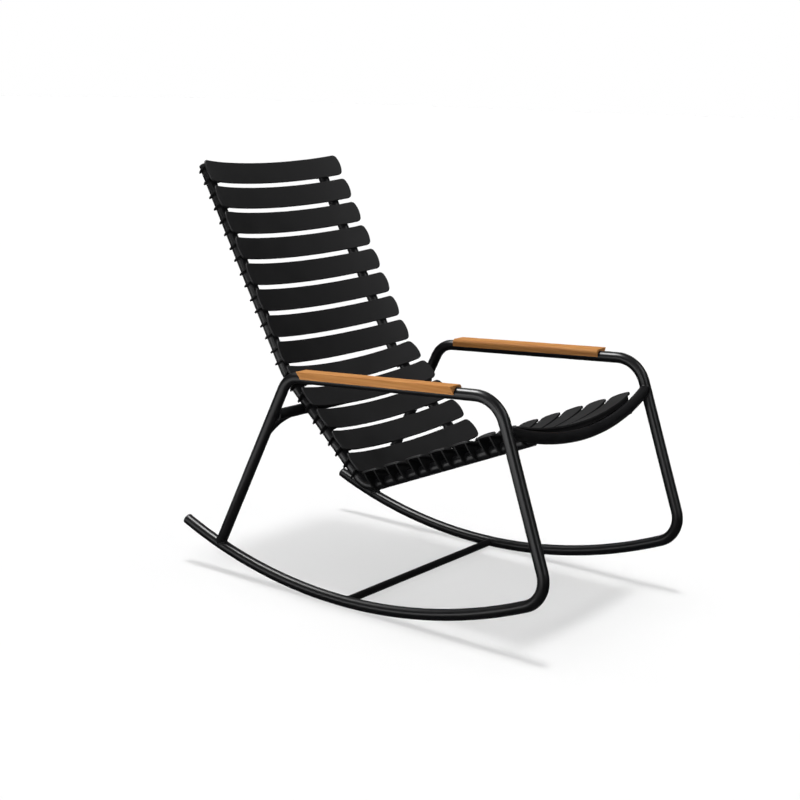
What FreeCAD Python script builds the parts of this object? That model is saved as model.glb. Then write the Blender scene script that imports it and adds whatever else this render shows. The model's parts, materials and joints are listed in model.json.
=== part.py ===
"""Rocking chair: welded tube frame, clipped plastic slats, bamboo armrests.

Millimetres. X is the width, the sitter faces -Y, Z is up. The floor is Z = 0, where the chair stands at rest.
Right and left are the sitter's: right is -X.
"""
import FreeCAD, Part
import math
import os
import Sketcher
from FreeCAD import Placement, Rotation, Vector

SCREWS_PER_ARM = 3
SIDES = (("right", -1), ("left", 1))

SIZES = {
    # Side frames
    "frame_width": 575.0,  # between the axes of the two side frames
    "tube_od": 25.0,  # side frame, bow and crossbar
    "tube_wall": 2.0,  # wall of those tubes
    "contact_y": 17.2,  # where the runners touch the floor
    "runner_radius": 1212.0,  # arc of the runner's axis
    "runner_front_angle": 26.18,  # from the floor contact to the front corner, degrees
    "runner_rear_angle": 22.25,  # from the floor contact to the rear end, degrees
    "front_leg_lean": 19.55,  # from upright, degrees
    "rear_leg_lean": 25.75,  # from upright, degrees
    "rear_foot_angle": 17.0,  # from the floor contact to the rear leg's foot, degrees
    "arm_height": 524.1,  # arm axis at the front corner
    "arm_drop": 3.65,  # fall of the arm towards the back, degrees
    "front_low_bend": 61.0,  # bend radius, runner to front leg
    "front_top_bend": 70.0,  # bend radius, front leg to arm
    "rear_top_bend": 55.0,  # bend radius, arm to rear leg
    "weld_setback": 3.0,  # how far a welded end stops short of the other tube's axis
    # Tubes between them
    "stretcher_od": 17.2,  # thin tube between the runners
    "stretcher_wall": 2.0,  # its wall
    "stretcher_angle": -0.95,  # behind the floor contact, degrees of the runner's arc
    "bow_sag": 51.0,  # front bow's middle below its ends
    "bow_rise": 4.2,  # bow axis above the rail axis where they meet
    "crossbar_station": 241.0,  # from the seat corner, along the rail
    "crossbar_bite": 0.6,  # depth of the crossbar's saddles round the rails
    "brace_od": 24.4,  # bent braces under the crossbar's ends
    "brace_bend": 59.0,  # their bend radius
    "brace_start": 12.0,  # turn where a brace leaves the crossbar, degrees
    "brace_turn": 80.0,  # turn where it meets the leg's axis, degrees
    "brace_trim": 5.0,  # from the legs' axes to where the braces are trimmed
    # Rails
    "rail_od": 25.0,  # rails under the slats
    "rail_wall": 1.65,  # their wall
    "rail_inset": 36.9,  # slat's tip to the rail's axis
    "seat_corner_y": -5.0,  # floor contact to where a rail's seat and back lines cross
    "seat_corner_z": 248.9,  # height of that corner
    "seat_angle": 22.95,  # rise of the seat to the front, degrees
    "low_back_lean": 46.55,  # lower back from upright, degrees
    "low_back_length": 327.1,  # seat corner to the back's own bend
    "high_back_lean": 29.75,  # upper back from upright, degrees
    "high_back_length": 515.6,  # the back's bend to the rail's top end
    "seat_bend": 45.0,  # bend radius, seat to back
    "back_bend": 75.0,  # bend radius, lower to upper back
    # Slats
    "slat_side_gap": 39.0,  # slat's tip to the side of the arm tube
    "slat_height": 53.0,  # along the rail
    "slat_plate": 4.0,  # plate thickness
    "slat_curve": 1000.0,  # radius of the plate's hollow
    "slat_curl": 550.0,  # tighter radius of its ends
    "slat_curl_run": 86.0,  # slat's tip to where the tighter radius starts
    "slat_end_curve": 57.0,  # radius of the end's outline
    "slat_corner": 11.0,  # corner radius of the plate
    "slat_edge": 1.2,  # rounding of the seat face's rim
    "slat_stand": 37.9,  # tip of the plate above the rail's axis
    "rib_thickness": 3.0,  # each of the two ribs
    "rib_spacing": 29.4,  # between the ribs' middles
    "rib_depth": 9.0,  # below the plate, between the rails
    "rib_inset": 2.5,  # from the plate's tip
    "rib_swell": 2.5,  # outward swell of the rib's end
    "rib_run": 40.0,  # from the rail's axis to where the rib reaches its depth
    "hook_angle": 53.0,  # from the rear to the hook's lip, degrees
    "hook_reach": 18.0,  # lip from the rail's axis
    "hook_round": 1.5,  # bulge of the lip's rounded end
    "hook_clearance": 0.2,  # bore of the hook over the rail, on the radius
    "slat_space": 11.4,  # wanted between neighbouring slats
    "seat_first": 47.8,  # seat corner to the first seat slat
    "seat_last": 32.1,  # last seat slat to the bow's axis
    "low_back_first": 52.2,  # seat corner to the lowest back slat
    "low_back_last": 27.7,  # last of the lower back slats to the back's bend
    "high_back_first": 40.3,  # back's bend to the first slat above it
    "high_back_last": 24.5,  # top slat to the rail's top end
    # Armrests, screws and end caps
    "armrest_length": 405.0,  # along the arm
    "armrest_front": 98.2,  # front corner of the arm to the armrest's front end
    "armrest_rise": 17.5,  # flat top above the tube's axis
    "armrest_skirt": 3.2,  # sides that hold the tube
    "armrest_overhang": 11.0,  # outer lip past the skirt
    "armrest_lip": 1.8,  # edge of that lip
    "armrest_knee": 9.8,  # height of the outer skirt, where the hollow under the lip starts
    "armrest_hollow": 1.2,  # depth of that hollow
    "armrest_round": 8.0,  # radius of the inner top edge
    "screw_od": 4.0,  # shank
    "screw_head_od": 8.5,  # head
    "screw_head_height": 2.6,  # head below the tube's upper wall
    "screw_hex": 3.0,  # across the corners of the key socket
    "screw_hex_depth": 1.6,  # key socket
    "screw_cover": 1.3,  # wood left above the screw's end
    "screw_end_margin": 45.0,  # armrest's end to its outer screws
    "screw_hole_clearance": 0.3,  # holes in the tube over shank and head, on the radius
    "cap_rim": 2.0,  # straight edge of an end cap
    "cap_dome": 3.5,  # height of its domed face
    "cap_stem": 16.0,  # stem below the head
    "rail_cap_stand": 2.5,  # a rail cap's head above its tube's end
}

os.makedirs("parts", exist_ok=True)
doc = FreeCAD.newDocument("rocking_chair")
sheet = doc.addObject("Spreadsheet::Sheet", "Sheet")
for row, (alias, value) in enumerate(SIZES.items(), start=1):
    sheet.set("A%d" % row, alias)
    sheet.set("B%d" % row, str(value))
    sheet.setAlias("B%d" % row, alias)
doc.recompute()


def size(alias):
    """A driving dimension as a number."""
    return float(sheet.get(alias))


def bind(obj, **formulas):
    """Binds properties to the sheet; a double underscore stands for a dot."""
    for name, formula in formulas.items():
        obj.setExpression(name.replace("__", "."), formula)
    return obj


def side_point(y, z):
    """A place in a side view, at the middle of the chair."""
    return Vector(0, y, z)


def lean(degrees):
    """Upward direction in a side view that leans to the back by this much."""
    a = math.radians(degrees)
    return Vector(0, math.sin(a), math.cos(a))


def crossing(p, u, q, v):
    """Where the line through p along u meets the line through q along v, in a side view."""
    along = ((q.y - p.y) * v.z - (q.z - p.z) * v.y) / (u.y * v.z - u.z * v.y)
    return p + u * along


def across(point, x):
    """The same place in a side view, moved to x."""
    return Vector(x, point.y, point.z)


def bent_path(points, radii):
    """Edges of a line through the points, with a bend of the given radius at each inner point."""
    edges = []
    start = points[0]
    for before, corner, after, radius in zip(points, points[1:], points[2:], radii):
        arrive = (corner - before).normalize()
        leave = (after - corner).normalize()
        turn = arrive.getAngle(leave)
        reach = radius * math.tan(turn / 2)
        bend_in = corner - arrive * reach
        bend_out = corner + leave * reach
        inward = (leave - arrive).normalize()
        centre = corner + inward * (radius / math.cos(turn / 2))
        middle = centre - inward * radius
        edges.append(Part.makeLine(start, bend_in))
        edges.append(Part.Arc(bend_in, middle, bend_out).toShape())
        start = bend_out
    edges.append(Part.makeLine(start, points[-1]))
    return edges


def spine(name, edges):
    """A path for a tube."""
    path = doc.addObject("Part::Feature", name)
    path.Shape = Part.Wire(edges)
    return path


def sweep(name, path, start, direction, radius_formula):
    """A round bar along a path."""
    ring = doc.addObject("Part::Circle", name + "_ring")
    ring.Placement = Placement(start, Rotation(Vector(0, 0, 1), direction))
    bind(ring, Radius=radius_formula)
    bar = doc.addObject("Part::Sweep", name)
    bar.Sections = [ring]
    bar.Spine = (path, ["Edge%d" % (i + 1) for i in range(len(path.Shape.Edges))])
    bar.Solid = True
    bar.Frenet = False
    return bar


def pair_of_bars(name, edges, outer, wall):
    """The outside and the bore of a tube along a path, as two bars."""
    path = spine(name + "_path", edges)
    first = edges[0]
    start = first.valueAt(first.FirstParameter)
    direction = first.tangentAt(first.FirstParameter)
    outside = sweep(name + "_outside", path, start, direction, "Sheet.%s / 2" % outer)
    bore = sweep(name + "_bore", path, start, direction, "Sheet.%s / 2 - Sheet.%s" % (outer, wall))
    return outside, bore


def cut(name, base, tool):
    """base less tool."""
    result = doc.addObject("Part::Cut", name)
    result.Base = base
    result.Tool = tool
    return result


def fuse(name, shapes):
    """Several shapes as one."""
    result = doc.addObject("Part::MultiFuse", name)
    result.Shapes = shapes
    return result


def finished(obj, label):
    """Marks an object as one of the chair's pieces."""
    obj.Label = label
    pieces.append(obj)
    return obj


pieces = []
half_width = size("frame_width") / 2
tube_radius = size("tube_od") / 2
rail_radius = size("rail_od") / 2
slat_half = half_width - tube_radius - size("slat_side_gap")
rail_x = slat_half - size("rail_inset")
setback = size("weld_setback")

# Side view of the frame: runner arc, legs and arm.
runner_radius = size("runner_radius")
contact_y = size("contact_y")
runner_centre = side_point(contact_y, runner_radius + tube_radius)


def on_runner(degrees):
    """Place on the runner's axis, this far behind the floor contact."""
    a = math.radians(degrees)
    return runner_centre + side_point(math.sin(a), -math.cos(a)) * runner_radius


front_foot = on_runner(-size("runner_front_angle"))
front_up = lean(size("front_leg_lean"))
rear_foot = on_runner(size("rear_foot_angle"))
rear_up = lean(-size("rear_leg_lean"))
arm_drop = math.radians(size("arm_drop"))
arm_back = side_point(math.cos(arm_drop), -math.sin(arm_drop))
arm_front = front_foot + front_up * ((size("arm_height") - front_foot.z) / front_up.z)
arm_rear = crossing(arm_front, arm_back, rear_foot, rear_up)

# The bend from runner to front leg touches the runner's arc from inside and the leg's line.
low_bend = size("front_low_bend")
leg_inward = side_point(front_up.z, -front_up.y)
bend_line = front_foot + leg_inward * low_bend
from_centre = bend_line - runner_centre
down_leg = from_centre.dot(front_up)
reach = math.sqrt(down_leg ** 2 - from_centre.dot(from_centre) + (runner_radius - low_bend) ** 2)
bend_centre = bend_line + front_up * (-down_leg - reach)
bend_on_runner = runner_centre + (bend_centre - runner_centre).normalize() * runner_radius
bend_on_leg = bend_centre - leg_inward * low_bend
bend_out = (bend_on_runner - bend_centre).normalize() + (bend_on_leg - bend_centre).normalize()
bend_middle = bend_centre + bend_out.normalize() * low_bend

# Side view of the rails: seat, lower back, upper back.
seat_corner = side_point(contact_y + size("seat_corner_y"), size("seat_corner_z"))
seat_rise = math.radians(size("seat_angle"))
seat_forward = side_point(-math.cos(seat_rise), math.sin(seat_rise))
seat_normal = side_point(math.sin(seat_rise), math.cos(seat_rise))
low_up = lean(size("low_back_lean"))
low_normal = side_point(-low_up.z, low_up.y)
high_up = lean(size("high_back_lean"))
back_corner = seat_corner + low_up * size("low_back_length")
rail_top = back_corner + high_up * size("high_back_length")

# The bow lies in the plane of the front legs and passes just over the rails' axes.
bow_at_rail = crossing(seat_corner + seat_normal * size("bow_rise"), seat_forward, front_foot, front_up)
bow_half = half_width - setback
bow_sag = size("bow_sag")
bow_radius = (bow_half ** 2 + bow_sag ** 2) / (2 * bow_sag)
bow_rise_at_rail = bow_radius - math.sqrt(bow_radius ** 2 - rail_x ** 2)
bow_middle = bow_at_rail - front_up * bow_rise_at_rail
bow_end = bow_middle + front_up * bow_sag
rail_front = bow_at_rail - seat_normal * size("bow_rise") - seat_forward * setback

# The crossbar rests in the back of the rails and runs straight to the rear legs.
# A brace bends from it to each leg.
crossbar_behind = rail_radius + tube_radius - size("crossbar_bite")
crossbar_axis = seat_corner + low_up * size("crossbar_station") - low_normal * crossbar_behind
brace_bend = size("brace_bend")
brace_turn = math.radians(size("brace_turn"))
brace_fall = brace_bend * (1 - math.cos(brace_turn))
leg_beside = rear_foot + rear_up * ((crossbar_axis.z - rear_foot.z) / rear_up.z)
brace_down = (leg_beside - rear_up * brace_fall - crossbar_axis).normalize()
brace_root = half_width - brace_bend * math.sin(brace_turn)


def brace_point(side, turn):
    """Place on a brace's axis, this far round its bend."""
    x = brace_root + brace_bend * math.sin(turn)
    return across(crossbar_axis, side * x) + brace_down * (brace_bend * (1 - math.cos(turn)))


def arm_place(side, along, above):
    """Place over the arm's axis; along runs back from the front corner."""
    arm_normal = side_point(-arm_back.z, arm_back.y)
    return across(arm_front + arm_back * along + arm_normal * above, side * half_width)


arm_turn = Rotation(Vector(1, 0, 0), -size("arm_drop"))
wood_front = size("armrest_front")
wood_middle = wood_front + size("armrest_length") / 2
outer_screw = size("armrest_length") / 2 - size("screw_end_margin")
screw_steps = [2 * i / (SCREWS_PER_ARM - 1) - 1 for i in range(SCREWS_PER_ARM)]
screw_stations = [wood_middle + outer_screw * step for step in screw_steps]


def pin(name, place, radius_formula, height_formula):
    """A round bar square to the arm, upwards from a place."""
    bar = doc.addObject("Part::Cylinder", name)
    bar.Placement = Placement(place, arm_turn)
    return bind(bar, Radius=radius_formula, Height=height_formula)


def side_frame(name, side):
    """Runner, front leg, arm and rear leg of one side, in one bent tube. Returns its outside and its bore."""
    x = side * half_width
    top = bent_path(
        [across(p, x) for p in (bend_on_leg, arm_front, arm_rear, rear_foot + rear_up * tube_radius * 2)],
        [size("front_top_bend"), size("rear_top_bend")],
    )
    rear_end = across(on_runner(size("runner_rear_angle")), x)
    contact = across(on_runner(0), x)
    runner = Part.Arc(rear_end, contact, across(bend_on_runner, x)).toShape()
    low = Part.Arc(*[across(p, x) for p in (bend_on_runner, bend_middle, bend_on_leg)]).toShape()
    outside, bore = pair_of_bars(name, [runner, low] + top, "tube_od", "tube_wall")
    foot = [Part.makeLine(across(rear_foot + rear_up * tube_radius * 2, x), across(rear_foot, x))]
    foot_outside, foot_bore = pair_of_bars(name + "_foot", foot, "tube_od", "tube_wall")
    runner_outside, runner_bore = pair_of_bars(name + "_runner", [runner], "tube_od", "tube_wall")
    leg_bore = cut(name + "_leg_bore", foot_bore, runner_outside)
    holes = []
    for i, along in enumerate(screw_stations):
        holes.append(pin("%s_hole_%d" % (name, i), arm_place(side, along, 0),
                         "Sheet.screw_od / 2 + Sheet.screw_hole_clearance", "Sheet.tube_od"))
        holes.append(pin("%s_access_%d" % (name, i), arm_place(side, along, -size("tube_od")),
                         "Sheet.screw_head_od / 2 + Sheet.screw_hole_clearance", "Sheet.tube_od"))
    body = fuse(name + "_body", [outside, foot_outside])
    inside = fuse(name + "_inside", [bore, leg_bore] + holes)
    finished(cut(name, body, inside), name)
    return outside, bore


def straight_or_bent_tube(name, edges, outer, wall, neighbours):
    """A tube whose ends and sides are cut to fit the tubes it is welded to."""
    outside, bore = pair_of_bars(name, edges, outer, wall)
    fitted = cut(name + "_hollow", outside, bore)
    for i, neighbour in enumerate(neighbours):
        fitted = cut("%s_fitted_%d" % (name, i), fitted, neighbour)
    return fitted, outside


def closed_sketch(body, name, plane_role, curves):
    """A sketch on one of the body's own planes, with its curves joined end to end."""
    plane = [p for p in body.Origin.OriginFeatures if p.Role == plane_role][0]
    sketch = body.newObject("Sketcher::SketchObject", name)
    sketch.AttachmentSupport = (plane, [""])
    sketch.MapMode = "FlatFace"
    sketch.addGeometry(curves, False)
    ends = [(i, at, sketch.getPoint(i, at)) for i in range(len(curves)) for at in (1, 2)]
    for k, (i, at, place) in enumerate(ends):
        for j, other_at, other_place in ends[k + 1:]:
            if i != j and place.distanceToPoint(other_place) < Part.Precision.confusion() * 100:
                sketch.addConstraint(Sketcher.Constraint("Coincident", i, at, j, other_at))
    return sketch


def line(p, q):
    """A sketch line."""
    return Part.LineSegment(p, q)


def arc(p, q, r):
    """A sketch arc from p through q to r."""
    return Part.Arc(p, q, r)


def mirrored(p):
    """The same sketch place on the other side."""
    return Vector(-p.x, p.y, 0)


def slat_hollow(x, below):
    """Height over the rail's axis on the slat's hollow, this far below its seat face."""
    curve = size("slat_curve")
    curl = size("slat_curl")
    start = math.asin((slat_half - size("slat_curl_run")) / curve)
    curl_x = (curve - curl) * math.sin(start)
    tip = slat_half - curl_x
    curl_z = size("slat_stand") + math.sqrt(curl ** 2 - tip ** 2)
    curve_z = curl_z + (curve - curl) * math.cos(start)
    if abs(x) > (curve + below) * math.sin(start):
        return Vector(x, curl_z - math.sqrt((curl + below) ** 2 - (abs(x) - curl_x) ** 2), 0)
    return Vector(x, curve_z - math.sqrt((curve + below) ** 2 - x ** 2), 0)


def hollow_arcs(x, below):
    """The slat's hollow from -x to x as arcs: one, or three if it reaches the tighter ends."""
    flare = (size("slat_curve") + below) / size("slat_curve")
    joint = slat_hollow((slat_half - size("slat_curl_run")) * flare, below)
    end = slat_hollow(x, below)
    if end.x <= joint.x:
        return [arc(mirrored(end), slat_hollow(0, below), end)]
    middle = slat_hollow((x + joint.x) / 2, below)
    return [
        arc(mirrored(end), mirrored(middle), mirrored(joint)),
        arc(mirrored(joint), slat_hollow(0, below), joint),
        arc(joint, middle, end),
    ]


def plate_outline():
    """The curved plate, seen along the rail."""
    tip = slat_half
    plate = size("slat_plate")
    top = slat_hollow(tip, 0)
    low = slat_hollow(tip, plate)
    ends = [line(top, low), line(mirrored(low), mirrored(top))]
    return hollow_arcs(tip, 0) + hollow_arcs(tip, plate) + ends


def end_outline():
    """What is cut from the plate's two square ends, seen from above, to leave them bowed."""
    tip = slat_half
    curve = size("slat_end_curve")
    past = size("slat_plate")
    beside = size("slat_height") / 2 + past
    shoulder = tip - curve + math.sqrt(curve ** 2 - beside ** 2)
    curves = []
    for side in (-1, 1):
        low, high = (Vector(side * shoulder, y, 0) for y in (-beside, beside))
        low_out, high_out = (Vector(side * (tip + past), y, 0) for y in (-beside, beside))
        curves.append(arc(low, Vector(side * tip, 0, 0), high))
        curves.extend([line(high, high_out), line(high_out, low_out), line(low_out, low)])
    return curves


def rib_outline():
    """A rib with its two hooks, seen along the rail. It starts half way up the plate."""
    plate = size("slat_plate")
    clearance = size("hook_clearance")
    bore = rail_radius + clearance
    lip_angle = math.radians(size("hook_angle"))
    lip = Vector(math.sin(lip_angle), -math.cos(lip_angle), 0)
    onward = Vector(-math.cos(lip_angle), -math.sin(lip_angle), 0)
    bulge = lip * ((bore + size("hook_reach")) / 2) + onward * size("hook_round")
    centre = Vector(rail_x, -clearance, 0)
    root = slat_hollow(slat_half - size("rib_inset"), plate / 2)
    outer_lip = centre + lip * size("hook_reach")
    chord = outer_lip - root
    swell = (root + outer_lip) * 0.5 + Vector(-chord.y, chord.x, 0).normalize() * size("rib_swell")
    outer_mouth = centre + lip * bore
    inner_mouth = centre + mirrored(lip) * bore
    inner_lip = centre + mirrored(lip) * size("hook_reach")
    depth = plate + size("rib_depth")
    run = slat_hollow(rail_x - size("rib_run"), depth)
    saddle = centre + Vector(0, bore, 0)
    half = [
        (root, swell, outer_lip),
        (outer_lip, centre + bulge, outer_mouth),
        (outer_mouth, saddle, inner_mouth),
        (inner_mouth, centre + mirrored(bulge), inner_lip),
        (inner_lip, run),
    ]
    curves = hollow_arcs(root.x, plate / 2) + hollow_arcs(run.x, depth)
    for points in half:
        draw = line if len(points) == 2 else arc
        curves.append(draw(*points))
        curves.append(draw(*[mirrored(p) for p in points]))
    return curves


def slat(label, place, turn_formula):
    """One slat: plate, rounded corners and two hooked ribs."""
    body = doc.addObject("PartDesign::Body", label)
    plate_sketch = closed_sketch(body, label + "_plate_outline", "XZ_Plane", plate_outline())
    plate = body.newObject("PartDesign::Pad", label + "_plate")
    plate.Profile = plate_sketch
    plate.SideType = "Symmetric"
    bind(plate, Length="Sheet.slat_height")
    doc.recompute()
    bowed = body.newObject("PartDesign::Pocket", label + "_bowed_ends")
    bowed.Profile = closed_sketch(body, label + "_end_outline", "XY_Plane", end_outline())
    bowed.SideType = "Symmetric"
    bind(bowed, Length="Sheet.frame_width")
    doc.recompute()
    near = Part.Precision.confusion() * 100
    edge = size("slat_height") / 2
    corners = [
        "Edge%d" % (i + 1)
        for i, e in enumerate(bowed.Shape.Edges)
        if abs(abs(e.CenterOfMass.y) - edge) < near and e.Length < size("slat_plate") * 2
    ]
    rounded = body.newObject("PartDesign::Fillet", label + "_corners")
    rounded.Base = (bowed, corners)
    bind(rounded, Radius="Sheet.slat_corner")
    doc.recompute()
    rim = [
        "Edge%d" % (i + 1)
        for i, e in enumerate(rounded.Shape.Edges)
        if all(abs(v.Z - slat_hollow(v.X, 0).y) < near for v in e.Vertexes)
        and abs(e.CenterOfMass.z - slat_hollow(e.CenterOfMass.x, 0).y) < size("slat_plate") / 4
    ]
    softened = body.newObject("PartDesign::Fillet", label + "_rim")
    softened.Base = (rounded, rim)
    bind(softened, Radius="Sheet.slat_edge")
    for end, sign in (("low", "-"), ("high", "")):
        rib_sketch = closed_sketch(body, "%s_%s_rib_outline" % (label, end), "XZ_Plane", rib_outline())
        bind(rib_sketch, AttachmentOffset__Base__z="%sSheet.rib_spacing / 2" % sign)
        rib = body.newObject("PartDesign::Pad", "%s_%s_rib" % (label, end))
        rib.Profile = rib_sketch
        rib.SideType = "Symmetric"
        bind(rib, Length="Sheet.rib_thickness")
    body.Placement = Placement(place, Rotation(Vector(1, 0, 0), 1))
    bind(body, Placement__Rotation__Angle=turn_formula)
    return finished(body, label)


def section_point(side, outward, above):
    """Place in an armrest's section, from the tube's axis."""
    return Vector(side * outward, above, 0)


def armrest(label, side):
    """Bamboo cap on the arm tube, with a lip over its outer side and a pilot hole for each screw."""
    rise = size("armrest_rise")
    skirt = tube_radius + size("armrest_skirt")
    tip = skirt + size("armrest_overhang")
    rounding = size("armrest_round")
    knee = section_point(side, skirt, size("armrest_knee"))
    under = section_point(side, tip, rise - size("armrest_lip"))
    slope = (under - knee).normalize()
    hollow = (knee + under) * 0.5 + Vector(-slope.y, slope.x, 0) * (side * size("armrest_hollow"))
    groove = section_point(side, tube_radius, 0)
    foot = section_point(side, skirt, 0)
    lip = section_point(side, tip, rise)
    inner_foot = section_point(side, -skirt, 0)
    inner_side = section_point(side, -skirt, rise - rounding)
    inner_top = section_point(side, rounding - skirt, rise)
    bevel = rounding * math.sin(math.radians(45))
    inner_round = section_point(side, rounding - skirt - bevel, rise - rounding + bevel)
    curves = [
        arc(groove, Vector(0, tube_radius, 0), mirrored(groove)),
        line(groove, foot),
        line(foot, knee),
        arc(knee, hollow, under),
        line(under, lip),
        line(lip, inner_top),
        arc(inner_top, inner_round, inner_side),
        line(inner_side, inner_foot),
        line(inner_foot, mirrored(groove)),
    ]
    body = doc.addObject("PartDesign::Body", label + "_cap")
    cap = body.newObject("PartDesign::Pad", label + "_section")
    cap.Profile = closed_sketch(body, label + "_outline", "XZ_Plane", curves)
    cap.SideType = "Symmetric"
    bind(cap, Length="Sheet.armrest_length")
    body.Placement = Placement(arm_place(side, wood_middle, 0), arm_turn)
    pilots = [
        pin("%s_pilot_%d" % (label, i), arm_place(side, along, 0),
            "Sheet.screw_od / 2", "Sheet.armrest_rise - Sheet.screw_cover")
        for i, along in enumerate(screw_stations)
    ]
    return finished(cut(label, body, fuse(label + "_pilots", pilots)), label)


def screw(name, side, along, tube_bore):
    """A screw whose head sits inside the arm tube, against its upper wall."""
    wall_height = tube_radius - size("tube_wall")
    head_base = wall_height - size("screw_head_height")
    blank = pin(name + "_blank", arm_place(side, along, head_base),
                "Sheet.screw_head_od / 2", "Sheet.tube_od / 2")
    head = doc.addObject("Part::Common", name + "_head")
    head.Base = blank
    head.Tool = tube_bore
    socket = doc.addObject("Part::Prism", name + "_socket")
    socket.Polygon = 6
    socket.Placement = Placement(arm_place(side, along, head_base), arm_turn)
    bind(socket, Circumradius="Sheet.screw_hex / 2", Height="Sheet.screw_hex_depth")
    shank_base = head_base + size("screw_hex_depth")
    shank = pin(
        name + "_shank", arm_place(side, along, shank_base), "Sheet.screw_od / 2",
        "Sheet.armrest_rise - Sheet.screw_cover - Sheet.tube_od / 2 + Sheet.tube_wall"
        " + Sheet.screw_head_height - Sheet.screw_hex_depth",
    )
    return fuse(name, [cut(name + "_keyed_head", head, socket), shank])


def end_cap(label, place, direction, outer, wall):
    """Plug for a tube's open end, with a domed head at a place."""
    turn = Rotation(Vector(0, 0, 1), direction)
    stem = doc.addObject("Part::Cylinder", label + "_stem")
    stem.Placement = Placement(place - direction * size("cap_stem"), turn)
    bind(stem, Radius="Sheet.%s / 2 - Sheet.%s" % (outer, wall), Height="Sheet.cap_stem")
    rim = doc.addObject("Part::Cylinder", label + "_rim")
    rim.Placement = Placement(place, turn)
    bind(rim, Radius="Sheet.%s / 2" % outer, Height="Sheet.cap_rim")
    dome = doc.addObject("Part::Ellipsoid", label + "_dome")
    dome.Placement = Placement(place + direction * size("cap_rim"), turn)
    dome.Angle1 = 0
    dome.Angle2 = 90
    bind(dome, Radius1="Sheet.cap_dome", Radius2="Sheet.%s / 2" % outer, Radius3="Sheet.%s / 2" % outer)
    return finished(fuse(label, [stem, rim, dome]), label)


frames = {}
frame_bores = {}
for side_name, side in SIDES:
    frames[side_name], frame_bores[side_name] = side_frame("side_frame_" + side_name, side)
both_frames = [frames[side_name] for side_name, side in SIDES]

stretcher_place = on_runner(size("stretcher_angle"))
stretcher_half = half_width - setback
stretcher_ends = [across(stretcher_place, x) for x in (-stretcher_half, stretcher_half)]
stretcher = straight_or_bent_tube(
    "stretcher", [Part.makeLine(*stretcher_ends)], "stretcher_od", "stretcher_wall", both_frames)[0]
finished(stretcher, "stretcher_tube")

bow_line = [Part.Arc(across(bow_end, -bow_half), bow_middle, across(bow_end, bow_half)).toShape()]
bow, bow_outside = straight_or_bent_tube("front_bow", bow_line, "tube_od", "tube_wall", both_frames)
finished(bow, "front_bow_tube")

rails = []
for side_name, side in SIDES:
    rail_points = [across(p, side * rail_x) for p in (rail_front, seat_corner, back_corner, rail_top)]
    rail_line = bent_path(rail_points, [size("seat_bend"), size("back_bend")])
    rail, rail_outside = straight_or_bent_tube(
        "rail_" + side_name, rail_line, "rail_od", "rail_wall", [bow_outside])
    finished(rail, "seat_back_rail_" + side_name)
    rails.append(rail_outside)

crossbar_half = half_width - setback
crossbar_ends = [across(crossbar_axis, x) for x in (-crossbar_half, crossbar_half)]
crossbar, crossbar_outside = straight_or_bent_tube(
    "rear_crossbar", [Part.makeLine(*crossbar_ends)], "tube_od", "tube_wall", both_frames + rails)
finished(crossbar, "rear_crossbar_tube")

for side_name, side in SIDES:
    name = "crossbar_brace_" + side_name
    turns = [math.radians(size("brace_start")), brace_turn]
    turns.insert(1, sum(turns) / 2)
    brace_line = Part.Arc(*[brace_point(side, turn) for turn in turns]).toShape()
    brace_bar = sweep(name + "_bar", spine(name + "_path", [brace_line]), brace_point(side, turns[0]),
                      brace_line.tangentAt(brace_line.FirstParameter), "Sheet.brace_od / 2")
    between_legs = doc.addObject("Part::Box", name + "_space")
    bind(between_legs, Length="Sheet.frame_width - 2 * Sheet.brace_trim", Width="Sheet.arm_height",
         Height="Sheet.arm_height")
    bind(between_legs, Placement__Base__x="Sheet.brace_trim - Sheet.frame_width / 2")
    brace_inside = doc.addObject("Part::Common", name + "_inside")
    brace_inside.Base = brace_bar
    brace_inside.Tool = between_legs
    welded = cut(name + "_on_leg", brace_inside, frames[side_name])
    finished(cut(name, welded, crossbar_outside), name)


def slat_row(length, first, last):
    """Stations of a row of slats along a rail, as even as the wanted space allows."""
    run = length - first - last
    steps = round(run / (size("slat_height") + size("slat_space")))
    return [first + run * i / steps for i in range(steps + 1)]


seat_length = (bow_at_rail - seat_corner).dot(seat_forward)
seat_row = slat_row(seat_length, size("seat_first"), size("seat_last"))
low_row = slat_row(size("low_back_length"), size("low_back_first"), size("low_back_last"))
high_row = slat_row(size("high_back_length"), size("high_back_first"), size("high_back_last"))
for i, station in enumerate(seat_row):
    slat("seat_slat_%02d" % (i + 1), seat_corner + seat_forward * station, "-Sheet.seat_angle * 1 deg")
for i, station in enumerate(reversed(high_row)):
    slat("back_slat_%02d" % (i + 1), back_corner + high_up * station, "(90 - Sheet.high_back_lean) * 1 deg")
for i, station in enumerate(reversed(low_row)):
    label = "back_slat_%02d" % (len(high_row) + i + 1)
    slat(label, seat_corner + low_up * station, "(90 - Sheet.low_back_lean) * 1 deg")

screws = []
runner_end = on_runner(size("runner_rear_angle"))
runner_out = side_point(runner_centre.z - runner_end.z, runner_end.y - runner_centre.y).normalize()
for side_name, side in SIDES:
    armrest("armrest_" + side_name, side)
    for i, along in enumerate(screw_stations):
        screws.append(screw("screw_%s_%d" % (side_name, i + 1), side, along, frame_bores[side_name]))
    runner_mouth = across(runner_end, side * half_width)
    end_cap("runner_end_cap_" + side_name, runner_mouth, runner_out, "tube_od", "tube_wall")
    rail_cap_place = across(rail_top + high_up * size("rail_cap_stand"), side * rail_x)
    end_cap("rail_end_cap_" + side_name, rail_cap_place, high_up, "rail_od", "rail_wall")
screw_group = doc.addObject("Part::Compound", "screw_group")
screw_group.Links = screws
finished(screw_group, "armrest_screws")

doc.recompute()

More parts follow.
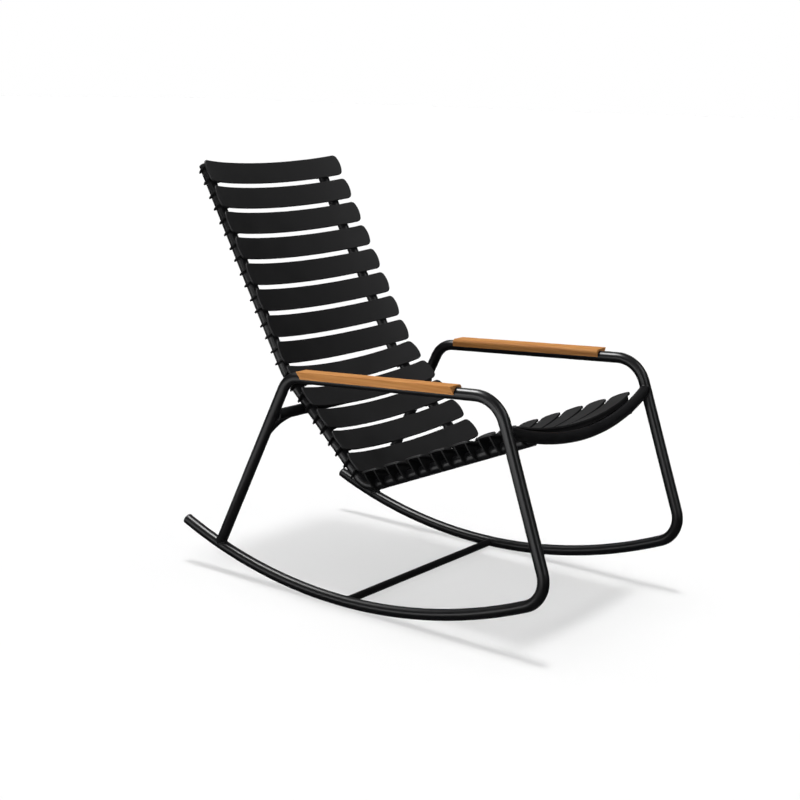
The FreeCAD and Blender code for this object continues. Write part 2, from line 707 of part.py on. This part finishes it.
faults = [o.Label for o in doc.Objects if "Invalid" in o.State or "Error" in o.State]
faults += [p.Label for p in pieces if p.Shape.isNull() or not p.Shape.isValid() or not p.Shape.Solids]
if faults:
    raise RuntimeError("not built: " + ", ".join(sorted(set(faults))))
for piece in pieces:
    piece.Shape.exportStep("parts/%s.step" % piece.Label)
    print(piece.Label, "solids", len(piece.Shape.Solids), "volume %.0f" % piece.Shape.Volume)
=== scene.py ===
"""Rocking chair: coated tube frame, moulded slats and bamboo arms, dressed over the built solids.

Metres, apart from the sizes named first. X is the width, the sitter faces -Y, Z is up.
Right and left are the sitter's: right is -X.
"""
import json
import math
import bmesh
import bpy
from mathutils import Matrix, Vector


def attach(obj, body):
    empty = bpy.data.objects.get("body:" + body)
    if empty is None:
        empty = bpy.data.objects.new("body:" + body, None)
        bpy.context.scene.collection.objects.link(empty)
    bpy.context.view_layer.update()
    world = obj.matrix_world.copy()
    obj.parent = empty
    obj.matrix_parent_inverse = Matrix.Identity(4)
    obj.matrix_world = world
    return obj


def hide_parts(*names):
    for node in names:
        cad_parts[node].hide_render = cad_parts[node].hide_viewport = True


MM = 0.001
SIDES = (("right", -1), ("left", 1))

# Sizes shared with the solids, in millimetres and degrees
HALF_WIDTH = 287.5  # from the chair's middle to the axis of a side frame
TUBE_RADIUS = 12.5
RAIL_X = 199.1  # from the chair's middle to the axis of a rail
STRETCHER_RADIUS = 8.6
RUNNER_RADIUS = 1212.0  # arc of the runner's axis
CONTACT_Y = 17.2  # where the runners touch the floor
STRETCHER_ANGLE = -0.95  # along the runner's arc, behind the floor contact
REAR_FOOT_ANGLE = 17.0
FRONT_FOOT_ANGLE = -26.18
REAR_LEG_LEAN = 25.75
FRONT_LEG_LEAN = 19.55
ARM_HEIGHT = 524.1  # axis of the arm at its front corner
ARM_DROP = 3.65  # slope of the arm to the back
SEAT_CORNER = (12.2, 248.9)  # where the rail turns from seat to back
SEAT_ANGLE = 22.95
BOW_SAG = 51.0
BOW_RISE = 4.2  # axis of the bow above the axis of the rails
BOW_SETBACK = 3.0  # from the axis of a front leg to the end of the bow

# Bamboo caps, in millimetres and degrees
CAP_FRONT = 98.2  # from the arm's front corner to the cap
CAP_LENGTH = 405.0
CAP_RISE = 17.5  # top of the cap above the axis of the tube
CAP_SKIRT = 3.2  # wood beside the tube
CAP_OVERHANG = 11.0  # lip past the outer skirt
CAP_LIP = 1.8
CAP_KNEE = 9.8  # height at which the outer skirt turns out to the lip
CAP_HOLLOW = 1.2  # depth of the hollow under the lip
CAP_ROUND = 8.0  # inner top edge
CAP_ARRIS = 0.7
GROOVE_EASE = 0.15
GROOVE_STEPS = 32
HOLLOW_STEPS = 10
ROUND_STEPS = 10
ARRIS_STEPS = 3
ARRIS_ANGLE = 40  # edges sharper than this are eased
CREASE_ANGLE = 35  # edges sharper than this stay crisp

# Weld beads, in millimetres
BEAD_RADIUS = 1.5
BEAD_RIPPLE = 0.16  # share of the radius
BEAD_RIPPLES = 16
BEAD_POINTS = 64
BEAD_ROUNDNESS = 3

# Bamboo strips, in millimetres and shares
STRIP_WIDTH = 6.8
STRIP_SHARE = 0.22  # how much the strips differ in tone
FIBRE_SHARE = 0.35
FIBRE_FINENESS = (520, 9, 520)  # across, along and through the arm
STREAK_FINENESS = (170, 3, 170)
BAMBOO_TONES = ((0.45, 0.38, 0.145, 0.039), (0.75, 0.54, 0.234, 0.069), (1.0, 0.63, 0.30, 0.098))
END_GRAIN_TONE = (0.27, 0.1, 0.03)
# Painted shade for the hollow under a cap's outer lip: its dark colour, and the width past the tube over
# which it fades in
UNDER_LIP_PAINTED_SHADE = (0.2, 0.085, 0.028)
UNDER_LIP_SHADE_FADE = 2.0

# Part of its range that a noise fills
NOISE_SPAN = (0.3, 0.7)

# Colour sockets of a Mix node
MIX_FIRST = 6
MIX_SECOND = 7
MIX_RESULT = 2

# Studio, in metres and degrees
FLOOR_HALF = 60.0
SOFT_LEVEL = 0.12
FLOOR_MIDDLE = (0, 0, 0)
CHAIR_MIDDLE = (0, 0, 0.4)
CAMERA_PLACE = (-2.65506, -1.91705, 1.12136)
CAMERA_TARGET = (0.0028, 0.0786, 0.4048)
CAMERA_ROLL = 1.472
LENS_LENGTH_MM = 66.105
SENSOR_WIDTH_MM = 36.0

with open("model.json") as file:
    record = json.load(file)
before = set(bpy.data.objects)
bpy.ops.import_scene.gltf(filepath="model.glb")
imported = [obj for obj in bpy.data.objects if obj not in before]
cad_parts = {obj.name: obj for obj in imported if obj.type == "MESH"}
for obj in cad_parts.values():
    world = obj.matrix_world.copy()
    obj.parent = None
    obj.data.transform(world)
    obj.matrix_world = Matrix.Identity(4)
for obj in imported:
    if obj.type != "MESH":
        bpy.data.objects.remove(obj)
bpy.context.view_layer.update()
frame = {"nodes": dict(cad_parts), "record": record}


# Places on the frame

def lean(degrees):
    """Upward direction in a side view that leans to the back."""
    turn = math.radians(degrees)
    return Vector((0, math.sin(turn), math.cos(turn)))


def in_side_view(y, z):
    """A place in a side view."""
    return Vector((0, y, z))


def on_runner(degrees):
    """Place on the runner's axis, this far behind the floor contact."""
    turn = math.radians(degrees)
    return in_side_view(CONTACT_Y + RUNNER_RADIUS * math.sin(turn),
                        TUBE_RADIUS + RUNNER_RADIUS * (1 - math.cos(turn)))


def runner_direction(degrees):
    """Direction of the runner there, to the back."""
    turn = math.radians(degrees)
    return Vector((0, math.cos(turn), math.sin(turn)))


def crossing(p, u, q, v):
    """Where the line through p along u meets the line through q along v, in a side view."""
    along = ((q.y - p.y) * v.z - (q.z - p.z) * v.y) / (u.y * v.z - u.z * v.y)
    return p + u * along


front_foot = on_runner(FRONT_FOOT_ANGLE)
front_up = lean(FRONT_LEG_LEAN)
arm_front = front_foot + front_up * ((ARM_HEIGHT - front_foot.z) / front_up.z)
arm_drop = math.radians(ARM_DROP)
arm_back = Vector((0, math.cos(arm_drop), -math.sin(arm_drop)))
rear_foot = on_runner(REAR_FOOT_ANGLE)
rear_up = lean(-REAR_LEG_LEAN)
seat_corner = in_side_view(*SEAT_CORNER)
seat_rise = math.radians(SEAT_ANGLE)
seat_forward = Vector((0, -math.cos(seat_rise), math.sin(seat_rise)))
seat_normal = Vector((0, math.sin(seat_rise), math.cos(seat_rise)))


# Mesh helpers

def only_vertices(geometry):
    """The vertices in what an operator returns."""
    return [g for g in geometry if isinstance(g, bmesh.types.BMVert)]


def placed(name, bm, finish):
    """A new object from a bmesh, with its finish."""
    mesh = bpy.data.meshes.new(name)
    bm.to_mesh(mesh)
    bm.free()
    mesh.materials.append(finish)
    piece = bpy.data.objects.new(name, mesh)
    bpy.context.scene.collection.objects.link(piece)
    return piece


def shown(name, bm, finish, slot, *stands_for):
    """Turns a bmesh into a piece of the chair."""
    bmesh.ops.recalc_face_normals(bm, faces=bm.faces)
    piece = placed(name, bm, finish)
    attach(piece, "root")
    if stands_for:
        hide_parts(*stands_for)
    return piece


# Bamboo caps

def turned_arc(bm, start, centre, degrees, steps):
    """Adds an arc to an outline from a vertex, and returns its last vertex."""
    turned = bmesh.ops.spin(bm, geom=[start], cent=centre, axis=(0, 1, 0), dvec=(0, 0, 0),
                            angle=math.radians(degrees), steps=steps, use_duplicate=False)
    return only_vertices(turned["geom_last"])[0]


def cap_outline(bm):
    """Section of a right-hand cap round its tube, outer side at -X, from the tube's axis."""
    groove = TUBE_RADIUS + GROOVE_EASE
    skirt = TUBE_RADIUS + CAP_SKIRT
    tip = skirt + CAP_OVERHANG
    knee = Vector((-skirt, 0, CAP_KNEE))
    under = Vector((-tip, 0, CAP_RISE - CAP_LIP))
    chord = under - knee
    hollow_radius = (chord.length_squared / 4 + CAP_HOLLOW ** 2) / (2 * CAP_HOLLOW)
    sideways = Vector((-chord.z, 0, chord.x)).normalized()
    hollow_centre = (knee + under) / 2 + sideways * (hollow_radius - CAP_HOLLOW)
    hollow_turn = 2 * math.degrees(math.asin(chord.length / 2 / hollow_radius))

    def outline_vertex(place, before=None):
        vertex = bm.verts.new(place)
        if before:
            bm.edges.new((before, vertex))
        return vertex

    first = outline_vertex((groove, 0, 0))
    last = turned_arc(bm, first, (0, 0, 0), -180, GROOVE_STEPS)
    last = outline_vertex((-skirt, 0, 0), last)
    last = outline_vertex(knee, last)
    last = turned_arc(bm, last, hollow_centre, hollow_turn, HOLLOW_STEPS)
    last = outline_vertex((-tip, 0, CAP_RISE), last)
    last = outline_vertex((skirt - CAP_ROUND, 0, CAP_RISE), last)
    last = turned_arc(bm, last, (skirt - CAP_ROUND, 0, CAP_RISE - CAP_ROUND), 90, ROUND_STEPS)
    last = outline_vertex((skirt, 0, 0), last)
    bm.edges.new((last, first))


def bamboo_cap(side_name, side, finish):
    """A cap: its section drawn out along the arm, with eased arrises."""
    bm = bmesh.new()
    cap_outline(bm)
    bmesh.ops.edgenet_fill(bm, edges=bm.edges)
    drawn = bmesh.ops.extrude_face_region(bm, geom=bm.faces[:])
    bmesh.ops.translate(bm, verts=only_vertices(drawn["geom"]), vec=(0, CAP_LENGTH, 0))
    bmesh.ops.recalc_face_normals(bm, faces=bm.faces)
    arrises = [e for e in bm.edges if e.calc_face_angle(0) > math.radians(ARRIS_ANGLE)]
    bmesh.ops.bevel(bm, geom=arrises, offset=CAP_ARRIS, offset_type="OFFSET", affect="EDGES",
                    segments=ARRIS_STEPS, profile=0.5, material=-1, clamp_overlap=True)
    if side > 0:
        bmesh.ops.scale(bm, vec=(-1, 1, 1), verts=bm.verts)
    start = arm_front + arm_back * CAP_FRONT
    on_arm = Matrix.Translation((side * HALF_WIDTH, start.y, start.z)) @ Matrix.Rotation(-arm_drop, 4, "X")
    bmesh.ops.transform(bm, matrix=Matrix.Scale(MM, 4) @ on_arm, verts=bm.verts)
    cap = shown("bamboo_cap_" + side_name, bm, finish, "bamboo", "armrest_" + side_name)
    cap.data.shade_smooth()
    cap.data.set_sharp_from_angle(angle=math.radians(CREASE_ANGLE))


# Welds

def weld_bead(name, place, outward, radius, host_place, host_direction, host_radius, finish):
    """A rippled bead along the line where a tube meets another tube, its host."""
    outward = outward.normalized()
    host_direction = host_direction.normalized()
    across = outward.cross(host_direction).normalized()
    upright = outward.cross(across)
    free = outward - host_direction * outward.dot(host_direction)
    curve = bpy.data.curves.new(name, "CURVE")
    curve.dimensions = "3D"
    curve.bevel_depth = BEAD_RADIUS * MM
    curve.bevel_resolution = BEAD_ROUNDNESS
    spline = curve.splines.new("POLY")
    spline.points.add(BEAD_POINTS - 1)
    spline.use_cyclic_u = True
    for i, point in enumerate(spline.points):
        turn = 2 * math.pi * i / BEAD_POINTS
        start = place + (across * math.cos(turn) + upright * math.sin(turn)) * radius
        # A line along the tube's wall leaves the host one host radius from the host's axis.
        off = start - host_place
        off -= host_direction * off.dot(host_direction)
        half = off.dot(free) / free.length_squared
        left = max(0.0, half ** 2 - (off.length_squared - host_radius ** 2) / free.length_squared)
        spot = start + outward * (math.sqrt(left) - half)
        point.co = (*(spot * MM), 1)
        point.radius = 1 + BEAD_RIPPLE * math.cos(turn * BEAD_RIPPLES)
    drawn = bpy.data.objects.new(name + "_line", curve)
    bpy.context.scene.collection.objects.link(drawn)
    solid = drawn.evaluated_get(bpy.context.evaluated_depsgraph_get())
    bm = bmesh.new()
    bm.from_mesh(solid.to_mesh())
    bpy.data.objects.remove(drawn)
    bead = shown(name, bm, finish, "black_coated_steel")
    bead.data.shade_smooth()


def all_welds(finish):
    """Beads at the ends of the stretcher and of the bow, and at the rear feet."""
    bow_half = HALF_WIDTH - BOW_SETBACK
    bow_radius = (bow_half ** 2 + BOW_SAG ** 2) / (2 * BOW_SAG)
    bow_at_rail = crossing(seat_corner + seat_normal * BOW_RISE, seat_forward, front_foot, front_up)
    bow_dip = bow_radius - math.sqrt(bow_radius ** 2 - RAIL_X ** 2)
    bow_middle = bow_at_rail - front_up * bow_dip
    bow_end = bow_middle + front_up * BOW_SAG
    bow_slope = math.asin(bow_half / bow_radius)
    stretcher = on_runner(STRETCHER_ANGLE)
    for side_name, side in SIDES:
        inward = Vector((-side, 0, 0))
        at_side = Vector((side * HALF_WIDTH, 0, 0))
        weld_bead("weld_stretcher_" + side_name, stretcher + at_side, inward, STRETCHER_RADIUS,
                  stretcher + at_side, runner_direction(STRETCHER_ANGLE), TUBE_RADIUS, finish)
        bow_inward = inward * math.cos(bow_slope) - front_up * math.sin(bow_slope)
        weld_bead("weld_bow_" + side_name, bow_end + at_side, bow_inward, TUBE_RADIUS,
                  bow_end + at_side, front_up, TUBE_RADIUS, finish)
        weld_bead("weld_rear_foot_" + side_name, rear_foot + at_side, rear_up, TUBE_RADIUS,
                  rear_foot + at_side, runner_direction(REAR_FOOT_ANGLE), TUBE_RADIUS, finish)


# Parts of a finish

def finish_tree(name):
    """A new material, with its node tree and its shader."""
    material = bpy.data.materials.new(name)
    material.use_nodes = True
    tree = material.node_tree
    return material, tree, tree.nodes["Principled BSDF"]


def give(tree, socket, value):
    """Links a socket to another, or sets it to a number."""
    if isinstance(value, bpy.types.NodeSocket):
        tree.links.new(value, socket)
    else:
        socket.default_value = value


def add(tree, kind, **inputs):
    """A node with values or links on its named inputs."""
    made = tree.nodes.new(kind)
    for name, value in inputs.items():
        give(tree, made.inputs[name], value)
    return made


def object_place(tree, scale=(1, 1, 1), turn=(0, 0, 0)):
    """Object coordinates, scaled and turned."""
    coordinates = tree.nodes.new("ShaderNodeTexCoord")
    mapping = add(tree, "ShaderNodeMapping", Vector=coordinates.outputs["Object"], Scale=scale,
                  Rotation=turn)
    return mapping.outputs["Vector"]


def noise(tree, place, scale, detail, roughness=0.5):
    """A soft noise."""
    made = add(tree, "ShaderNodeTexNoise", Vector=place, Scale=scale, Detail=detail, Roughness=roughness)
    return made.outputs["Fac"]


def ramp(tree, value, *stops):
    """Colours along a value: place, then red, green, blue."""
    made = add(tree, "ShaderNodeValToRGB", Fac=value)
    elements = made.color_ramp.elements
    for element, stop in zip(elements, (stops[0], stops[-1])):
        element.position = stop[0]
        element.color = (*stop[1:], 1)
    for stop in stops[1:-1]:
        element = elements.new(stop[0])
        element.color = (*stop[1:], 1)
    return made.outputs["Color"]


def worked_out(tree, operation, *values):
    """The result of a sum on one to three values."""
    made = tree.nodes.new("ShaderNodeMath")
    made.operation = operation
    for socket, value in zip(made.inputs, values):
        give(tree, socket, value)
    return made.outputs["Value"]


def between(tree, value, span, levels):
    """A value moved from one span to another."""
    made = add(tree, "ShaderNodeMapRange", Value=value)
    for name, number in zip(("From Min", "From Max", "To Min", "To Max"), (*span, *levels)):
        made.inputs[name].default_value = number
    return made.outputs["Result"]


def two_tone(tree, cloud, darker, lighter):
    """A colour that wanders between two tones with a noise."""
    low, high = NOISE_SPAN
    return ramp(tree, cloud, (low, *darker), (high, *lighter))


def blended(tree, share, first, second):
    """A linked colour that turns to a fixed one by a share."""
    made = tree.nodes.new("ShaderNodeMix")
    made.data_type = "RGBA"
    tree.links.new(share, made.inputs["Factor"])
    tree.links.new(first, made.inputs[MIX_FIRST])
    made.inputs[MIX_SECOND].default_value = (*second, 1)
    return made.outputs[MIX_RESULT]


def surface(tree, shader, colour, roughness, specular):
    """Gives a shader its colour and its sheen."""
    give(tree, shader.inputs["Base Color"], colour)
    give(tree, shader.inputs["Roughness"], roughness)
    shader.inputs["Specular IOR Level"].default_value = specular


def relief(tree, shader, height, strength, depth):
    """Gives a shader a fine relief."""
    bump = add(tree, "ShaderNodeBump", Strength=strength, Distance=depth, Height=height)
    tree.links.new(bump.outputs["Normal"], shader.inputs["Normal"])


# Finishes of the chair

def black_coat():
    """Satin black powder coat: faint orange peel and a slightly uneven sheen."""
    material, tree, shader = finish_tree("black_coat")
    place = object_place(tree)
    peel = noise(tree, place, scale=700.0, detail=3.0)
    cloud = noise(tree, place, scale=22.0, detail=4.0, roughness=0.6)
    colour = two_tone(tree, cloud, darker=(0.0045, 0.0045, 0.005), lighter=(0.0065, 0.0065, 0.007))
    sheen = between(tree, cloud, span=NOISE_SPAN, levels=(0.28, 0.34))
    surface(tree, shader, colour, sheen, specular=0.065)
    relief(tree, shader, peel, strength=0.12, depth=0.0002)
    return material


def moulded_plastic():
    """Matte black moulded plastic with a fine grain."""
    material, tree, shader = finish_tree("moulded_plastic")
    place = object_place(tree)
    grain = noise(tree, place, scale=900.0, detail=2.0, roughness=0.6)
    cloud = noise(tree, place, scale=14.0, detail=4.0, roughness=0.55)
    colour = two_tone(tree, cloud, darker=(0.0022, 0.0022, 0.0025), lighter=(0.0032, 0.0032, 0.0036))
    sheen = between(tree, cloud, span=NOISE_SPAN, levels=(0.5, 0.6))
    surface(tree, shader, colour, sheen, specular=0.075)
    relief(tree, shader, grain, strength=0.1, depth=0.00015)
    return material


def bamboo():
    """Glued strips of bamboo with fibres along the arm, darker end grain at the ends, and painted shade in
    the hollow under the lip.
    """
    material, tree, shader = finish_tree("bamboo")
    along_arm = (arm_drop, 0, 0)
    apart = add(tree, "ShaderNodeSeparateXYZ", Vector=object_place(tree, turn=along_arm))
    strip = worked_out(tree, "FLOOR", worked_out(tree, "DIVIDE", apart.outputs["X"], STRIP_WIDTH * MM))
    strip_tone = tree.nodes.new("ShaderNodeTexWhiteNoise")
    strip_tone.noise_dimensions = "1D"
    tree.links.new(strip, strip_tone.inputs["W"])
    fibre = noise(tree, object_place(tree, FIBRE_FINENESS, along_arm), scale=1.0, detail=5.0, roughness=0.6)
    streak = noise(tree, object_place(tree, STREAK_FINENESS, along_arm), scale=1.0, detail=3.0)
    streaked = worked_out(tree, "MULTIPLY_ADD", strip_tone.outputs["Value"], STRIP_SHARE, streak)
    colour = ramp(tree, worked_out(tree, "MULTIPLY_ADD", fibre, FIBRE_SHARE, streaked), *BAMBOO_TONES)

    geometry = tree.nodes.new("ShaderNodeNewGeometry")
    facing = add(tree, "ShaderNodeSeparateXYZ", Vector=geometry.outputs["Normal"])
    endways = worked_out(tree, "ABSOLUTE", facing.outputs["Y"])
    end_share = between(tree, endways, span=(0.75, 0.95), levels=(0.0, 0.25))
    colour = blended(tree, end_share, colour, END_GRAIN_TONE)

    # Painted shade: the hollow under the outer lip, past the tube's side and facing down, turns partly dark
    # brown, standing in for the shade that falls there
    off_middle = worked_out(tree, "ABSOLUTE", apart.outputs["X"])
    tube_side = HALF_WIDTH + TUBE_RADIUS
    past_tube = between(tree, off_middle, span=(tube_side * MM, (tube_side + UNDER_LIP_SHADE_FADE) * MM),
                        levels=(0.0, 1.0))
    turned_down = between(tree, facing.outputs["Z"], span=(-0.2, -0.6), levels=(0.0, 0.15))
    painted_shade_under_lip = worked_out(tree, "MULTIPLY", past_tube, turned_down)
    colour = blended(tree, painted_shade_under_lip, colour, UNDER_LIP_PAINTED_SHADE)

    sheen = between(tree, fibre, span=NOISE_SPAN, levels=(0.5, 0.62))
    surface(tree, shader, colour, sheen, specular=0.02)
    relief(tree, shader, fibre, strength=0.15, depth=0.0002)
    return material


def screw_steel():
    """Plain turned steel."""
    material, tree, shader = finish_tree("screw_steel")
    turning = noise(tree, object_place(tree), scale=1500.0, detail=2.0)
    colour = two_tone(tree, turning, darker=(0.42, 0.42, 0.43), lighter=(0.58, 0.58, 0.59))
    sheen = between(tree, turning, span=NOISE_SPAN, levels=(0.28, 0.4))
    surface(tree, shader, colour, sheen, specular=0.5)
    shader.inputs["Metallic"].default_value = 1.0
    return material


# Studio

def dull_finish(name, mottle_scale, darker, lighter, roughness):
    """A dull, faintly mottled finish for the floor and the cards."""
    material, tree, shader = finish_tree(name)
    mottle = noise(tree, object_place(tree), scale=mottle_scale, detail=2.0)
    surface(tree, shader, two_tone(tree, mottle, darker, lighter), roughness, specular=0.0)
    return material


def pale_floor():
    """A wide pale floor under the runners."""
    bm = bmesh.new()
    bmesh.ops.create_grid(bm, x_segments=1, y_segments=1, size=FLOOR_HALF)
    white = dull_finish("floor_white", mottle_scale=3.0, darker=(0.93, 0.93, 0.93),
                        lighter=(0.94, 0.94, 0.94), roughness=0.9)
    floor = placed("floor", bm, white)


def white_surround():
    """White all round for the camera and in reflections; a softer level lights the chair."""
    world = bpy.data.worlds.new("studio")
    bpy.context.scene.world = world
    world.use_nodes = True
    tree = world.node_tree
    ray = tree.nodes.new("ShaderNodeLightPath")
    seen = worked_out(tree, "MAXIMUM", ray.outputs["Is Camera Ray"], ray.outputs["Is Glossy Ray"])
    seen = worked_out(tree, "MAXIMUM", seen, ray.outputs["Is Transmission Ray"])
    level = between(tree, seen, span=(0.0, 1.0), levels=(SOFT_LEVEL, 1.0))
    background = tree.nodes["Background"]
    background.inputs["Color"].default_value = (1, 1, 1, 1)
    tree.links.new(level, background.inputs["Strength"])


def aimed(holder, place, target, roll=0.0):
    """Puts a lamp or a camera at a place, pointed at a target."""
    aim = (Vector(target) - Vector(place)).to_track_quat("-Z", "Y").to_matrix().to_4x4()
    holder.matrix_world = Matrix.Translation(place) @ aim @ Matrix.Rotation(math.radians(roll), 4, "Z")
    bpy.context.scene.collection.objects.link(holder)


def lamp(light, place, target, sheen, fill):
    """Sets up a lamp that lights the set, or shows as sheen on the chair."""
    holder = bpy.data.objects.new(light.name, light)
    aimed(holder, place, target)
    holder.visible_camera = False
    holder.visible_glossy = sheen
    holder.visible_diffuse = fill


def far_lamp(name, place, energy, spread=0.0, shadow=True):
    """A far lamp that lights the set and stays out of the sheen."""
    light = bpy.data.lights.new(name, "SUN")
    light.energy = energy
    light.angle = math.radians(spread)
    light.use_shadow = shadow
    lamp(light, place, FLOOR_MIDDLE, sheen=False, fill=True)


def sheen_lamp(name, place, energy, width, height, target=CHAIR_MIDDLE):
    """A soft lamp that shows only as sheen on the chair."""
    light = bpy.data.lights.new(name, "AREA")
    light.energy = energy
    light.shape = "RECTANGLE"
    light.size = width
    light.size_y = height
    lamp(light, place, target, sheen=True, fill=False)


def flag(name, finish, corner, along, upward):
    """A dark card beside the set. It shows only in reflections, where it keeps the black finishes deep."""
    bm = bmesh.new()
    start = bm.verts.new(corner)
    drawn = bmesh.ops.extrude_vert_indiv(bm, verts=[start])
    bmesh.ops.translate(bm, verts=drawn["verts"], vec=along)
    raised = bmesh.ops.extrude_edge_only(bm, edges=drawn["edges"])
    bmesh.ops.translate(bm, verts=only_vertices(raised["geom"]), vec=upward)
    card = placed(name, bm, finish)
    card.visible_camera = False
    card.visible_diffuse = False
    card.visible_shadow = False


def lamps():
    """Lamps above and beside the set, then the lamps for the sheen."""
    far_lamp("overhead", place=(0, 0.12, 4.0), energy=0.75, spread=9)
    far_lamp("overhead_cloth", place=(0, 0.9, 4.0), energy=0.38, spread=32)
    far_lamp("overhead_fill", place=(0, 0, 4.0), energy=1.8, shadow=False)
    far_lamp("side_fill", place=(-4.0, 0, 1.4), energy=0.35, shadow=False)
    sheen_lamp("side_strip", place=(-2.6, 0.3, 0.4), energy=140.0, width=3.4, height=0.8,
               target=(0, 0.3, 0.4))
    sheen_lamp("side_bounce", place=(-1.5, 0.3, 0.01), energy=60.0, width=1.5, height=2.0,
               target=(-1.5, 0.3, 1.0))
    sheen_lamp("camera_softbox", place=(-3.0, -0.6, 1.5), energy=60.0, width=1.0, height=1.0)
    sheen_lamp("front_strip", place=(-0.5, -3.2, 1.5), energy=70.0, width=0.5, height=2.0)
    sheen_lamp("front_softbox", place=(0.7, -2.0, 2.5), energy=75.0, width=1.2, height=1.2)
    sheen_lamp("rear_strip", place=(-0.45, 1.4, 3.0), energy=500.0, width=1.2, height=0.8)


def flags():
    """Dark cards round the set, and one on the floor."""
    cloth = dull_finish("flag_cloth", mottle_scale=40.0, darker=(0.02, 0.02, 0.02),
                        lighter=(0.03, 0.03, 0.03), roughness=0.95)
    flag("flag_far_side", cloth, corner=(1.7, -2.6, 0), along=(0, 3.2, 0), upward=(0, 0, 2.2))
    flag("flag_far_rear", cloth, corner=(1.7, 0.6, 0), along=(0, 2.0, 0), upward=(0, 0, 1.2))
    flag("flag_rear", cloth, corner=(-1.6, 2.4, 0), along=(3.3, 0, 0), upward=(0, 0, 1.9))
    flag("flag_near_side", cloth, corner=(-2.9, -0.6, 0.85), along=(0.9, 3.0, 0), upward=(0, 0, 1.05))
    flag("flag_camera_side", cloth, corner=(-3.87, -1.38, 0), along=(1.6, -2.05, 0), upward=(0, 0, 2.4))
    flag("flag_floor", cloth, corner=(-0.7, -3.0, 0.004), along=(2.3, 0, 0), upward=(0, 4.5, 0))


def camera():
    """The camera, at the photograph's viewing angle."""
    lens = bpy.data.cameras.new("camera")
    lens.lens = LENS_LENGTH_MM
    lens.sensor_width = SENSOR_WIDTH_MM
    holder = bpy.data.objects.new("camera", lens)
    aimed(holder, CAMERA_PLACE, CAMERA_TARGET, CAMERA_ROLL)
    bpy.context.scene.camera = holder


finishes = {
    "black_coated_steel": black_coat(),
    "black_moulded_plastic": moulded_plastic(),
    "bamboo": bamboo(),
    "plain_steel": screw_steel(),
}
for subpart in frame["record"]["subparts"]:
    mesh = frame["nodes"][subpart["node"]].data
    mesh.materials.clear()
    mesh.materials.append(finishes[subpart["material_slot"]])
for side_name, side in SIDES:
    bamboo_cap(side_name, side, finishes["bamboo"])
all_welds(finishes["black_coated_steel"])
pale_floor()
white_surround()
lamps()
flags()
camera()
bpy.context.scene.view_settings.view_transform = "Standard"
